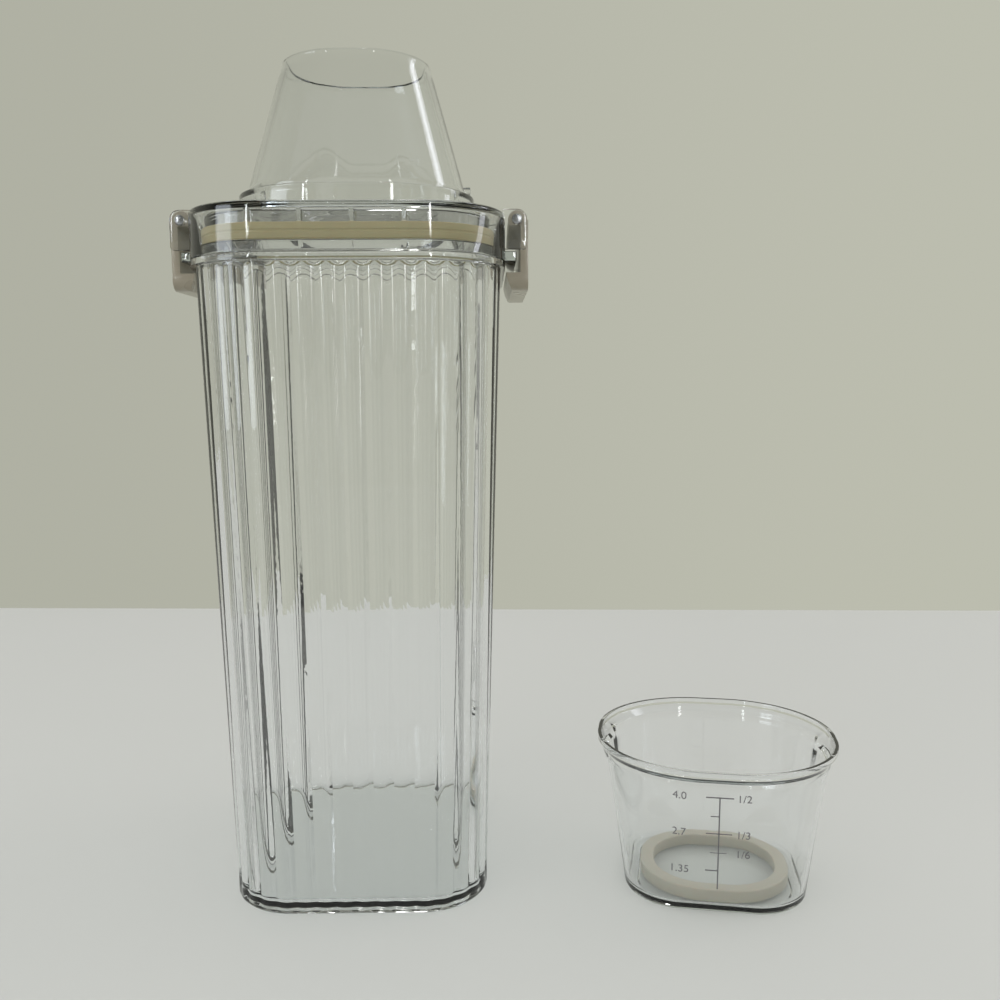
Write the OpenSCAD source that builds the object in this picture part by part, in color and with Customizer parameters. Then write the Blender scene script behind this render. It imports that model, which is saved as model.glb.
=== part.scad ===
// Tall clear storage container for dry food, with a latched lid that carries an open pouring spout,
// and a loose measuring cup that also closes the spout.
// Millimetres, +Z up. The origin is the centre of the container's base, on the table. The front is -Y.

/* [Container] */
// Width of the base, outside
base_w = 80.6; // [60:0.1:140]
// Depth of the base, outside
base_d = 95; // [70:1:160]
// Radius of the base's corners
base_r = 20; // [12:1:28]
// How much wider and deeper the walls are at the top than at the base
flare = 10.8; // [0:0.2:24]
// Radius of the corners at the top
mouth_r = 24; // [14:1:30]
// Height from the table to the underside of the flange
body_h = 197.2; // [100:0.1:320]
// Thickness of the walls
wall_t = 2.0; // [1.2:0.1:3]
// Thickness of the neck
neck_t = 2.0; // [1:0.1:3]
// Thickness of the floor
floor_t = 3.0; // [1.5:0.1:5]
// Number of vertical reeds around the walls
reed_count = 52; // [24:4:80]
// Depth of the valleys between the reeds
reed_depth = 0.6; // [0:0.1:1]
// Height over which the reeds fade out at the foot and under the flange
reed_fade = 6; // [2:0.5:12]
// Radius of the rounding at the foot
foot_r = 3; // [1:0.5:5]
// How far the flange stands out of the wall
flange_out = 1.5; // [1:0.1:2]
// Thickness of the flange
flange_t = 1.9; // [1:0.1:4]
// Height of the neck above the flange
neck_h = 3.9; // [2:0.1:6]

/* [Lid] */
// Height of the skirt, from its lower edge to the lid's top face
skirt_h = 14.1; // [12:0.1:20]
// Thickness of the skirt
skirt_t = 1.5; // [1:0.1:2.5]
// Thickness of the lid's top plate
top_t = 2.0; // [1.2:0.1:3]
// Thickness of the ring that hangs into the neck
plug_t = 1.5; // [1:0.1:2.5]
// Distance from the plug's lower edge down to the flange's top face, upwards
plug_up = 1.4; // [0.5:0.1:3]
// Height of the lid seal
seal_h = 4.6; // [3:0.1:6]
// Width of the lid seal's section
seal_w = 1.6; // [1.2:0.1:2.4]
// Distance between the ribs inside the lid
rib_pitch = 16; // [10:1:24]
// Thickness of a rib
rib_t = 1.2; // [0.8:0.1:2]

/* [Latches] */
// Length of a latch along the lid's side
latch_len = 54; // [30:1:64]
// Thickness of a latch's plate
latch_t = 2.4; // [1.6:0.1:3]
// Distance of the plate's outer face outside the pin's axis
plate_out = 3.5; // [3.0:0.1:4.5]
// Radius of the barrel around the hinge pin
barrel_r = 2.7; // [2.3:0.1:3.5]
// Radius of the hinge pin
pin_r = 1.5; // [1:0.1:1.8]
// Distance of the pin's axis below the lid's top face
pin_drop = 1.6; // [1:0.1:3]
// Distance of the pin's axis outside the lid's side
pin_out = 3.6; // [3.2:0.1:5]
// Thickness of the lid's ears that hold the pin
ear_t = 2.5; // [1.5:0.1:4]
// Radius of the ears around the pin
ear_r = 3.0; // [2.6:0.1:4]
// Distance that the ears reach below the pin's axis
ear_drop = 8.9; // [6:0.1:10]
// Height of the rail between the ears, at the skirt's lower edge
rail_h = 3; // [1:0.1:6]
// Gap between the rail and a hanging latch
rail_gap = 1.3; // [1.2:0.1:2]
// Height of the hook at the foot of a latch
hook_h = 5.2; // [3:0.1:8]
// Distance from the flange's underside down to the hook's top face
hook_drop = 0.8; // [0.5:0.1:2]
// Radius of the latch's two lower corners
latch_corner_r = 3.5; // [1:0.5:6]

/* [Spout] */
// Width of the spout's mouth, outside
mouth_spout_w = 47.2; // [30:0.1:60]
// Depth of the spout's mouth, outside
mouth_spout_d = 43; // [28:0.1:56]
// Width of the spout's root above its collar, outside
root_w = 70.4; // [50:0.1:74]
// Depth of the spout's root above its collar, outside
root_d = 64.6; // [46:0.1:68]
// Radius of the corners at the root
root_r = 27; // [15:0.5:30]
// Height of the collar above the lid's top face
collar_h = 8.5; // [4:0.1:12]
// How far the collar stands out of the root
collar_out = 2.4; // [1:0.1:3]
// Thickness of the spout's wall
spout_t = 1.8; // [1.2:0.1:2.5]
// Height of the locking lugs above the collar's top
lug_up = 3.4; // [2:0.1:6]
// Radius of a locking lug
lug_r = 1.3; // [0.8:0.1:2]

/* [Measuring cup] */
// Height of the cup
cup_h = 48.3; // [30:0.1:70]
// Width of the cup's base, outside
cup_base_w = 57.0; // [40:0.1:66]
// Depth of the cup's base, outside
cup_base_d = 53.4; // [36:0.1:60]
// Radius of the corners of the cup's base
cup_base_r = 17; // [10:0.5:20]
// Thickness of the cup's wall
cup_t = 1.4; // [1:0.1:2]
// Thickness of the cup's floor
cup_floor_t = 2.0; // [1:0.1:3]
// How far the rim stands out of the cup's wall
rim_out = 2.4; // [1.5:0.1:3]
// Height of the rim's outer face
rim_h = 1.6; // [1:0.1:2.5]
// Thickness of the rim
rim_t = 1.2; // [0.8:0.1:1.4]
// Distance from the cup's mouth down to the ledge inside it
ledge_drop = 3.9; // [3.2:0.1:6]
// Height of the cup's seal ring
ring_h = 4.2; // [3:0.1:6]
// Width of the seal ring's section
ring_t = 4.4; // [3:0.1:6]
// Place of the seal ring in front of the cup's middle, on its floor
ring_front = 1.6; // [0:0.1:2]
// Place of the cup's centre to the right of the container's
cup_x = 115.8; // [105:0.1:200]
// Place of the cup's centre in front of the container's
cup_front = 22.6; // [0:0.1:80]
// Turn of the cup, in degrees, clockwise as seen from above
cup_turn = 10.2; // [0:0.1:30]

/* [Clearances] */
// Gap between pieces that move past or rest on each other
run_gap = 0.3; // [0.25:0.05:0.5]
// Gap between the neck and the lid's skirt and plug
neck_gap = 0.35; // [0.3:0.05:0.6]
// Gap around a piece that is fitted in its seat
seat_gap = 0.1; // [0.05:0.05:0.2]
// Radial gap between a hinge pin and its bores
pin_gap = 0.05; // [0.02:0.01:0.1]

/* [Hidden] */
$fn = 64;
past = 1;

clear = [0.80, 0.86, 0.86, 0.40];
silicone = [0.60, 0.57, 0.44];
latch_colour = [0.66, 0.63, 0.56];
steel = [0.55, 0.56, 0.58];

// Container
mouth_w = base_w + flare;
mouth_d = base_d + flare;
flange_w = mouth_w + 2 * flange_out;
flange_d = mouth_d + 2 * flange_out;
flange_r = mouth_r + flange_out;
flange_top = body_h + flange_t;
neck_top = flange_top + neck_h;
ring_points = 3 * reed_count;

// Lid
lid_w = flange_w;
lid_d = flange_d;
lid_r = flange_r;
skirt_bottom = flange_top + run_gap;
lid_top = skirt_bottom + skirt_h;
plate_bottom = lid_top - top_t;
neck_inset = skirt_t + neck_gap;
neck_w = lid_w - 2 * neck_inset;
neck_d = lid_d - 2 * neck_inset;
neck_r = lid_r - neck_inset;
plug_inset = neck_inset + neck_t + neck_gap;
plug_bottom = flange_top + plug_up;
seal_bottom = neck_top + run_gap;
seal_top = seal_bottom + seal_h;

// Latches
pin_x = lid_w / 2 + pin_out;
pin_z = lid_top - pin_drop;
plate_face = pin_x + plate_out;
plate_in = plate_face - latch_t;
hook_top = body_h - hook_drop;
hook_tip = flange_w / 2 + run_gap;
hook_bottom = hook_top - hook_h;
ear_out = latch_len / 2 + run_gap + ear_t;
rail_out = plate_in - rail_gap;
hook_step = 0.6;
hook_lead = 1.8;
pin_recess = 0.4;

// Spout and cup
spout_points = 96;
mouth_flat = 1.5;
spigot_in = spout_t - 1;
collar_top = lid_top + collar_h;
spout_top = collar_top + cup_h - cup_floor_t - ring_h - seat_gap;
mouth_spout_r = min(mouth_spout_w, mouth_spout_d) / 2 - mouth_flat;
collar_w = root_w + 2 * collar_out;
collar_d = root_d + 2 * collar_out;
collar_r = root_r + collar_out;
spigot_w = root_w - 2 * spigot_in;
spigot_d = root_d - 2 * spigot_in;
spigot_r = root_r - spigot_in;
lug_z = collar_top + lug_up;
lug_root = root_w / 2 - 2 * spout_t;
lug_tip = root_w / 2 + 1.2;
cup_gap = 0.4;
cup_flat = 2;
spout_h = spout_top - collar_top;
cup_top_w = root_w - (root_w - mouth_spout_w) * ledge_drop / spout_h + 2 * cup_gap + 2 * cup_t;
cup_top_d = root_d - (root_d - mouth_spout_d) * ledge_drop / spout_h + 2 * cup_gap + 2 * cup_t;
cup_top_r = min(cup_top_w, cup_top_d) / 2 - cup_flat;
ledge_z = cup_h - ledge_drop;
ledge_rise = 1.8;
cove_h = 2.4;
cove_out = 0.35 * rim_out;
notch_half = 11;
notch_in = lug_tip + 0.2 - cup_top_w / 2 + cup_t;
notch_h = 1.2;
notch_out = 0.55 * notch_in;
pocket_h = 16;
pocket_in = 0.5;
cup_points = 120;
foot_step = 1.5;
floor_step = 1;
ring_gap = 0.4;

// A point on a rounded rectangle, s along its outline from the middle of the front side, turning left,
// with the direction of the outline's outward normal: [x, y, angle]
function on_arc(cx, cy, r, a) = [cx + r * cos(a), cy + r * sin(a), a];
function deg(s, r) = s / r * 180 / PI;
function outline_at(w, d, r, s) =
    let (
        a = w / 2 - r,
        b = d / 2 - r,
        q = PI * r / 2,
        s1 = s - a,
        s2 = s1 - q,
        s3 = s2 - 2 * b,
        s4 = s3 - q,
        s5 = s4 - 2 * a,
        s6 = s5 - q,
        s7 = s6 - 2 * b,
        s8 = s7 - q
    )
    s1 < 0 ? [s, -d / 2, -90]
    : s2 < 0 ? on_arc(a, -b, r, -90 + deg(s1, r))
    : s3 < 0 ? [w / 2, -b + s2, 0]
    : s4 < 0 ? on_arc(a, b, r, deg(s3, r))
    : s5 < 0 ? [a - s4, d / 2, 90]
    : s6 < 0 ? on_arc(-a, b, r, 90 + deg(s5, r))
    : s7 < 0 ? [-w / 2, b - s6, 180]
    : s8 < 0 ? on_arc(-a, -b, r, 180 + deg(s7, r))
    : [-a + s8, -d / 2, 270];
function outline_length(w, d, r) = 2 * (w + d - 4 * r) + 2 * PI * r;

// A level ring of points on a rounded rectangle, with valleys of a depth between convex reeds
function ring(w, d, r, z, n, depth = 0) =
    [for (i = [0 : n - 1])
        let (
            p = outline_at(w, d, r, outline_length(w, d, r) * i / n),
            dip = depth * (1 - abs(sin(180 * i * reed_count / n)))
        )
        [p[0] - dip * cos(p[2]), p[1] - dip * sin(p[2]), z]];

// The middle of a ring's box
function middle(points) =
    [for (axis = [0 : 2]) (min([for (p = points) p[axis]]) + max([for (p = points) p[axis]])) / 2];

// A skin through rings of equal counts: a tube whose last ring joins its first, or a solid with two caps
module skin(rings, tube = false) {
    n = len(rings[0]);
    m = len(rings);
    top = (m - 1) * n;
    sides = [for (k = [0 : tube ? m - 1 : m - 2], i = [0 : n - 1])
        let (j = (i + 1) % n, up = (k + 1) % m)
        each [[k * n + i, up * n + i, up * n + j], [k * n + i, up * n + j, k * n + j]]];
    caps = [for (i = [0 : n - 1])
        let (j = (i + 1) % n)
        each [[i, j, m * n], [top + j, top + i, m * n + 1]]];
    points = [for (one = rings) each one];
    if (tube) polyhedron(points, sides);
    else polyhedron(concat(points, [middle(rings[0]), middle(rings[m - 1])]), concat(sides, caps));
}

// A flat rounded rectangle
module panel(w, d, r) {
    square([w - 2 * r, d], center = true);
    square([w, d - 2 * r], center = true);
    for (x = [-1, 1], y = [-1, 1]) translate([x * (w / 2 - r), y * (d / 2 - r)]) circle(r);
}

// A level ring along the lid's outline, its outer face an inset inside the lid's side
module band(inset, t, z, h) {
    translate([0, 0, z]) linear_extrude(h) difference() {
        panel(lid_w - 2 * inset, lid_d - 2 * inset, lid_r - inset);
        panel(lid_w - 2 * (inset + t), lid_d - 2 * (inset + t), lid_r - inset - t);
    }
}

module container_body() {
    n = ring_points;
    inner_base_w = base_w - 2 * wall_t;
    inner_base_d = base_d - 2 * wall_t;
    inner_base_r = base_r - wall_t;
    half_in = foot_r * 0.13;
    color(clear) skin([
        ring(base_w - 2 * foot_r, base_d - 2 * foot_r, base_r - foot_r, 0, n),
        ring(base_w - 2 * half_in, base_d - 2 * half_in, base_r - half_in, foot_r * 0.5, n),
        ring(base_w, base_d, base_r, foot_r + reed_fade, n, reed_depth),
        ring(mouth_w, mouth_d, mouth_r, body_h - reed_fade, n, reed_depth),
        ring(mouth_w, mouth_d, mouth_r, body_h, n),
        ring(flange_w, flange_d, flange_r, body_h, n),
        ring(flange_w, flange_d, flange_r, flange_top, n),
        ring(neck_w, neck_d, neck_r, flange_top, n),
        ring(neck_w, neck_d, neck_r, neck_top, n),
        ring(neck_w - 2 * neck_t, neck_d - 2 * neck_t, neck_r - neck_t, neck_top, n),
        ring(inner_base_w, inner_base_d, inner_base_r, floor_t + foot_r, n),
        ring(inner_base_w - foot_r, inner_base_d - foot_r, inner_base_r - foot_r / 2, floor_t, n)
    ]);
}

// An ear of the lid at the place y, around the pin and down along the lid's side
module ear(y) {
    translate([pin_x, y + ear_t / 2, pin_z]) rotate([90, 0, 0]) linear_extrude(ear_t) {
        circle(ear_r);
        translate([-pin_out - skirt_t / 2, -ear_drop]) square([pin_out + skirt_t / 2 + ear_r, ear_drop]);
        translate([-pin_out - skirt_t / 2, 0]) square([pin_out + skirt_t / 2, ear_r]);
    }
}

module side_bracket() {
    ear(ear_out - ear_t / 2);
    ear(-ear_out + ear_t / 2);
    translate([lid_w / 2 - skirt_t / 2, -ear_out, skirt_bottom])
        cube([rail_out - lid_w / 2 + skirt_t / 2, 2 * ear_out, rail_h]);
}

// The ribs of one straight side, from its middle outwards
module ribs(side, across) {
    sink = skirt_t / 2;
    reach = plug_inset + plug_t / 2 - sink;
    count = floor((side / 2 - lid_r + rib_pitch / 2) / rib_pitch);
    for (i = [-count : count], end = [-1, 1])
        translate([i * rib_pitch, end * (across / 2 - sink - reach / 2), seal_top + seat_gap])
            translate([-rib_t / 2, -reach / 2, 0]) cube([rib_t, reach, plate_bottom - seal_top]);
}

module lid() {
    bore = pin_r + pin_gap;
    color(clear) difference() {
        union() {
            translate([0, 0, plate_bottom]) linear_extrude(top_t) panel(lid_w, lid_d, lid_r);
            band(0, skirt_t, skirt_bottom, skirt_h);
            band(plug_inset, plug_t, plug_bottom, lid_top - plug_bottom);
            ribs(lid_w, lid_d);
            rotate([0, 0, 90]) ribs(lid_d, lid_w);
            side_bracket();
            mirror([1, 0, 0]) side_bracket();
        }
        translate([0, 0, plate_bottom - past]) linear_extrude(top_t + 2 * past)
            panel(spigot_w + 2 * seat_gap, spigot_d + 2 * seat_gap, spigot_r + seat_gap);
        for (x = [-pin_x, pin_x]) translate([x, ear_out + past, pin_z])
            rotate([90, 0, 0]) cylinder(h = 2 * (ear_out + past), r = bore);
    }
}

module lid_seal() {
    color(silicone) band(plug_inset - seat_gap - seal_w, seal_w, seal_bottom, seal_h);
}

module pour_spout() {
    n = spout_points;
    bore_w = mouth_spout_w - 2 * spout_t;
    bore_d = mouth_spout_d - 2 * spout_t;
    color(clear) union() {
        skin([
            ring(spigot_w, spigot_d, spigot_r, plate_bottom, n),
            ring(spigot_w, spigot_d, spigot_r, lid_top, n),
            ring(collar_w, collar_d, collar_r, lid_top, n),
            ring(collar_w, collar_d, collar_r, collar_top, n),
            ring(root_w, root_d, root_r, collar_top, n),
            ring(mouth_spout_w, mouth_spout_d, mouth_spout_r, spout_top, n),
            ring(bore_w, bore_d, mouth_spout_r - spout_t, spout_top, n),
            ring(root_w - 2 * spout_t, root_d - 2 * spout_t, root_r - spout_t, collar_top, n),
            ring(spigot_w - 2 * spout_t, spigot_d - 2 * spout_t, spigot_r - spout_t, plate_bottom, n)
        ], tube = true);
        for (side = [-1, 1]) translate([side * lug_root, 0, lug_z])
            rotate([0, side * 90, 0]) cylinder(h = lug_tip - lug_root, r = lug_r);
    }
}

// What is cut away to round one of a latch's two lower corners
module lower_corner(side) {
    size = 2 * latch_corner_r;
    through = plate_face + past;
    translate([0, side * (latch_len / 2 - latch_corner_r), hook_bottom + latch_corner_r])
        rotate([0, 90, 0]) difference() {
            translate([0, side > 0 ? 0 : -size, 0]) cube([size, size, through]);
            cylinder(h = through, r = latch_corner_r);
        }
}

// The right-hand latch: a plate with a barrel at its top and a hook at its foot
module latch() {
    difference() {
        translate([0, latch_len / 2, 0]) rotate([90, 0, 0]) linear_extrude(latch_len) union() {
            translate([pin_x, pin_z]) circle(barrel_r);
            polygon([
                [plate_in, pin_z],
                [plate_in, hook_top],
                [hook_tip, hook_top],
                [hook_tip + hook_step, hook_bottom + hook_h / 2],
                [hook_tip + hook_lead, hook_bottom],
                [plate_face, hook_bottom],
                [plate_face, pin_z]
            ]);
        }
        translate([pin_x, latch_len / 2 + past, pin_z]) rotate([90, 0, 0])
            cylinder(h = latch_len + 2 * past, r = pin_r + pin_gap);
        for (side = [-1, 1]) lower_corner(side);
    }
}

module latch_right() {
    color(latch_colour) latch();
}

module latch_left() {
    color(latch_colour) mirror([1, 0, 0]) latch();
}

module hinge_pin(x) {
    half = ear_out - pin_recess;
    color(steel) translate([x, half, pin_z]) rotate([90, 0, 0]) cylinder(h = 2 * half, r = pin_r);
}

module hinge_pin_left() {
    hinge_pin(-pin_x);
}

module hinge_pin_right() {
    hinge_pin(pin_x);
}

// A ring of the cup, pushed outwards by a bulge at its two ends, where the notches for the lugs are
function cup_ring(w, d, r, z, bulge) =
    [for (p = ring(w, d, r, z, cup_points))
        let (near = max(0, 1 - pow(p[1] / notch_half, 2)))
        [p[0] + sign(p[0]) * bulge * near, p[1], z]];

// The wall's outside at a height, moved outwards, and at the ends by a bulge more
function cup_wall(z, out, bulge = 0) =
    let (
        k = min(1, z / ledge_z),
        w = cup_base_w + (cup_top_w - cup_base_w) * k,
        d = cup_base_d + (cup_top_d - cup_base_d) * k,
        r = cup_base_r + (cup_top_r - cup_base_r) * k
    )
    cup_ring(w + 2 * out, d + 2 * out, r + out, z, bulge);

module measuring_cup() {
    color(clear) translate([cup_x, -cup_front, 0]) rotate(-cup_turn) skin([
        cup_ring(cup_base_w - 2 * foot_step, cup_base_d - 2 * foot_step, cup_base_r - foot_step, 0, 0),
        cup_wall(foot_step, 0),
        cup_wall(ledge_z - 2 * cove_h, 0),
        cup_wall(ledge_z - cove_h, 0, notch_out),
        cup_wall(ledge_z - cove_h / 2, cove_out, notch_out),
        cup_wall(cup_h - rim_h, rim_out),
        cup_wall(cup_h, rim_out),
        cup_wall(cup_h, rim_out - rim_t),
        cup_wall(ledge_z + ledge_rise, rim_out - rim_t),
        cup_wall(ledge_z, -cup_t, notch_in),
        cup_wall(ledge_z - notch_h, -cup_t, notch_in),
        cup_wall(ledge_z - 2 * notch_h, -cup_t, pocket_in),
        cup_wall(ledge_z - pocket_h, -cup_t),
        cup_wall(cup_floor_t + foot_step, -cup_t),
        cup_wall(cup_floor_t, -cup_t - floor_step)
    ]);
}

module cup_seal() {
    w = mouth_spout_w + 2 * ring_gap;
    d = mouth_spout_d + 2 * ring_gap;
    r = mouth_spout_r + ring_gap;
    color(silicone) translate([cup_x, -cup_front, cup_floor_t]) rotate(-cup_turn)
        translate([0, -ring_front, 0]) linear_extrude(ring_h) difference() {
            panel(w, d, r);
            panel(w - 2 * ring_t, d - 2 * ring_t, r - ring_t);
        }
}

container_body();
lid();
lid_seal();
pour_spout();
latch_left();
latch_right();
hinge_pin_left();
hinge_pin_right();
measuring_cup();
cup_seal();
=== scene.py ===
import math

import bmesh
import bpy
from bpy.props import FloatProperty, FloatVectorProperty, IntProperty, PointerProperty
from mathutils import Matrix, Vector


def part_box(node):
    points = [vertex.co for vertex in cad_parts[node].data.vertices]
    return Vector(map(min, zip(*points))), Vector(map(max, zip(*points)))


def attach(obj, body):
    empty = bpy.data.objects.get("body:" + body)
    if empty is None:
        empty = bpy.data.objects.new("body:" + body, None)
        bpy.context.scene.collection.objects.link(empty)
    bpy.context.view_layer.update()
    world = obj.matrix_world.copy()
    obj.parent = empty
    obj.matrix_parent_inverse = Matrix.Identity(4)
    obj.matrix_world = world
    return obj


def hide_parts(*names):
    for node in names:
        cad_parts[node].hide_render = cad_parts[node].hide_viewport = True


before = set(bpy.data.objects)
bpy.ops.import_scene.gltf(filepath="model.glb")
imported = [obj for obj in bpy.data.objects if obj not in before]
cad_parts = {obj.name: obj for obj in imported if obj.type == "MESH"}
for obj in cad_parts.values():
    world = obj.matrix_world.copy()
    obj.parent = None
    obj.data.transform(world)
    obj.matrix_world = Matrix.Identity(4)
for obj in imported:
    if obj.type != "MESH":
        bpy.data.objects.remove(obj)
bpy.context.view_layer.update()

bl_info = {
    "name": "Clear Storage Container",
    "version": (1, 0, 0),
    "blender": (4, 5, 0),
    "location": "View3D > Sidebar > Container",
    "description": "Reeded clear container with a latched lid, a pouring spout and a measuring cup",
    "category": "Object",
}

MM = 0.001
SMOOTH_ANGLE = 28


def extent(node):
    """Size of a packed node and its middle."""
    low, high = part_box(node)
    return high - low, (low + high) / 2


def length(name, description, millimetres):
    return FloatProperty(
        name=name, description=description, default=millimetres * MM, unit="LENGTH", precision=5)


def linear(value):
    """A display value of 0 to 255 as linear light."""
    share = value / 255
    return share / 12.92 if share <= 0.04045 else ((share + 0.055) / 1.055) ** 2.4


def tint(name, description, red, green, blue):
    """A colour that a user can change, from display values of 0 to 255."""
    shade = (linear(red), linear(green), linear(blue))
    return FloatVectorProperty(
        name=name, description=description, default=shade, subtype="COLOR", size=3, min=0, max=1)


# Sizes and colours


class BodySizes(bpy.types.PropertyGroup):
    """Sizes of the reeded container that its box doesn't give."""
    flare: length("Flare", "How much wider the walls are at the top than at the base", 10.8)
    base_r: length("Base corner", "Radius of the base's corners", 20)
    mouth_r: length("Top corner", "Radius of the corners at the top", 24)
    flange_out: length("Flange", "How far the flange stands out of the wall", 1.5)
    flange_t: length("Flange height", "Thickness of the flange", 1.9)
    neck_h: length("Neck", "Height of the neck above the flange", 3.9)
    neck_inset: length("Neck inset", "Distance of the neck inside the flange's edge", 1.85)
    wall: length("Wall", "Thickness of the walls and of the neck", 2.0)
    floor: length("Floor", "Thickness of the floor", 3.0)
    recess: length("Recess", "How far the underside lies above the table inside the foot", 0.8)
    foot_land: length("Foot", "Width of the flat foot that the container stands on", 3.0)
    foot_r: length("Foot rounding", "Radius of the rounding at the foot", 1.4)
    floor_r: length("Inner rounding", "Width of the rounding between floor and wall", 1.8)
    floor_rise: length("Inner rise", "Height of the rounding between floor and wall", 3.0)
    foot_reed: FloatProperty(
        name="Foot reeds", description="Share of the reeds' depth that is left at the foot", default=0.3)
    reeds: IntProperty(name="Reeds", description="Number of vertical reeds", default=52, min=12)
    reed_points: IntProperty(name="Points", description="Points across a reed", default=8, min=4)
    reed_depth: length("Reed depth", "Depth of the valleys between the reeds", 0.6)
    reed_fade: length("Reed end", "Height over which the reeds fade out at the top", 1.6)
    foot_fade: length("Reed foot", "Height over which the reeds fade out at the foot", 5.0)


class LidSizes(bpy.types.PropertyGroup):
    """Sizes of the lid that its box doesn't give."""
    corner_r: length("Corner", "Radius of the lid's corners", 25.5)
    skirt: length("Skirt", "Thickness of the skirt", 1.5)
    plate: length("Plate", "Thickness of the top plate", 2.0)
    top_r: length("Top rounding", "Radius of the rounding around the lid's top", 1.3)
    plug_inset: length("Plug inset", "Distance of the hanging ring inside the lid's side", 4.2)
    plug: length("Plug", "Thickness of the ring that hangs into the neck", 1.5)
    plug_up: length("Plug foot", "Height of the plug's lower edge above the skirt's", 1.1)
    hole_gap: length("Hole gap", "Gap between the spout's spigot and the lid", 0.1)
    rib_pitch: length("Rib pitch", "Distance between the ribs inside the lid", 14.6)
    rib_shift: length("Rib shift", "Place of the first front rib to the right of the middle", 4.0)
    rib: length("Rib", "Thickness of a rib", 1.2)
    ear: length("Ear", "Thickness of an ear", 2.5)
    ear_r: length("Ear rounding", "Radius of an ear around the pin", 3.0)
    ear_drop: length("Ear drop", "Distance that the ears reach below the pin", 8.9)
    rail_h: length("Rail", "Height of the rail between the ears", 3.0)
    rail_out: length("Rail reach", "How far the rail stands out of the lid's side", 3.4)


class SpoutSizes(bpy.types.PropertyGroup):
    """Sizes of the pouring spout that its box doesn't give."""
    mouth_w: length("Mouth width", "Outer width of the mouth", 47.2)
    mouth_d: length("Mouth depth", "Outer depth of the mouth", 43.0)
    root_w: length("Root width", "Outer width above the collar", 70.4)
    root_d: length("Root depth", "Outer depth above the collar", 64.6)
    root_r: length("Root corner", "Radius of the corners above the collar", 27.0)
    mouth_r: length("Mouth corner", "Radius of the corners at the mouth", 20.0)
    collar: length("Collar", "How far the collar stands out of the root", 2.4)
    collar_h: length("Collar height", "Height of the collar above the lid", 8.5)
    wall: length("Wall", "Thickness of the wall", 1.8)
    spigot: length("Spigot", "Distance of the spigot inside the root", 0.8)
    lug_r: length("Lug", "Radius of a locking lug", 1.3)
    lug_up: length("Lug height", "Height of the lugs above the collar", 3.4)
    lug_out: length("Lug reach", "How far a lug stands out of the root's side", 1.2)


class LatchSizes(bpy.types.PropertyGroup):
    """Sizes of the latches that their boxes don't give."""
    plate: length("Plate", "Thickness of a latch's plate", 2.4)
    barrel_r: length("Barrel", "Radius of the barrel around the pin", 2.7)
    bore_r: length("Bore", "Radius of the bore for the pin", 1.55)
    hook_h: length("Hook", "Height of the hook", 5.2)
    hook_step: length("Hook nose", "How far the hook's tip slants back at half its height", 0.6)
    hook_lead: length("Hook lead", "How far the hook's tip slants back at its foot", 1.8)
    corner_r: length("Corner", "Radius of the two lower corners", 3.5)


class CupSizes(bpy.types.PropertyGroup):
    """Sizes of the measuring cup that its box doesn't give."""
    turn: FloatProperty(
        name="Turn", description="Turn of the cup, clockwise as seen from above",
        default=math.radians(10.2), unit="ROTATION")
    base_w: length("Base width", "Width of the base", 57.0)
    base_d: length("Base depth", "Depth of the base", 53.4)
    base_r: length("Base corner", "Radius of the base's corners", 17.0)
    top_w: length("Top width", "Width of the wall at the ledge", 71.85)
    top_d: length("Top depth", "Depth of the wall at the ledge", 66.2)
    top_r: length("Top corner", "Radius of the wall's corners at the ledge", 31.1)
    ledge_drop: length("Ledge", "Distance from the mouth down to the ledge", 3.9)
    wall: length("Wall", "Thickness of the wall", 1.4)
    floor: length("Floor", "Thickness of the floor", 2.0)
    rim_out: length("Rim", "How far the rim stands out of the wall", 2.4)
    rim_h: length("Rim height", "Height of the rim's outer face", 1.6)
    rim_t: length("Rim thickness", "Thickness of the rim", 1.2)
    notch_half: length("Notch", "Half the width of the notches at the two ends", 11.0)
    notch_in: length("Notch depth", "Depth of the notches in the wall's inner face", 2.08)
    notch_out: length("Notch bulge", "How far the wall bulges out around a notch", 1.14)


class ScaleSizes(bpy.types.PropertyGroup):
    """Sizes of the printed measuring scale."""
    line: length("Line", "Width of the printed lines", 0.42)
    digit: length("Digits", "Size of the type", 3.5)
    film: length("Film", "Thickness of the print", 0.03)
    bottom: length("Bottom", "Height of the scale's lower end", 8.4)
    top: length("Top", "Height of the scale's upper end", 39.5)


class Finishes(bpy.types.PropertyGroup):
    """Colours of the finishes."""
    silicone: tint("Silicone", "Colour of the lid's seal", 160, 150, 110)
    cup_silicone: tint("Cup silicone", "Colour of the cup's seal ring", 168, 164, 148)
    latch: tint("Latch", "Colour of the two latches", 150, 142, 124)
    ink: tint("Ink", "Colour of the printed scale", 110, 108, 110)
    steel: tint("Steel", "Colour of the hinge pins", 170, 172, 175)
    table: tint("Table", "Colour of the table", 202, 203, 198)
    wall: tint("Wall", "Colour of the wall behind the table", 184, 185, 171)


class View(bpy.types.PropertyGroup):
    """Place and direction of the camera, and the table's back edge."""
    place: FloatVectorProperty(
        name="Place", description="Place of the camera", subtype="XYZ", size=3, precision=5,
        default=(0.04138, -0.33453, 0.16292))
    yaw: FloatProperty(name="Yaw", description="Turn to the right", default=0.0126, unit="ROTATION")
    pitch: FloatProperty(name="Pitch", description="Tilt down", default=0.1189, unit="ROTATION")
    roll: FloatProperty(name="Roll", description="Roll", default=-0.0054, unit="ROTATION")
    lens: FloatProperty(name="Lens", description="Focal length on a 36 mm sensor", default=35.44)
    table_back: length("Table edge", "Place of the table's back edge behind the container", 369.6)
    table_turn: FloatProperty(
        name="Table turn", description="Turn of the table's back edge", default=-0.0475, unit="ROTATION")


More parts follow.
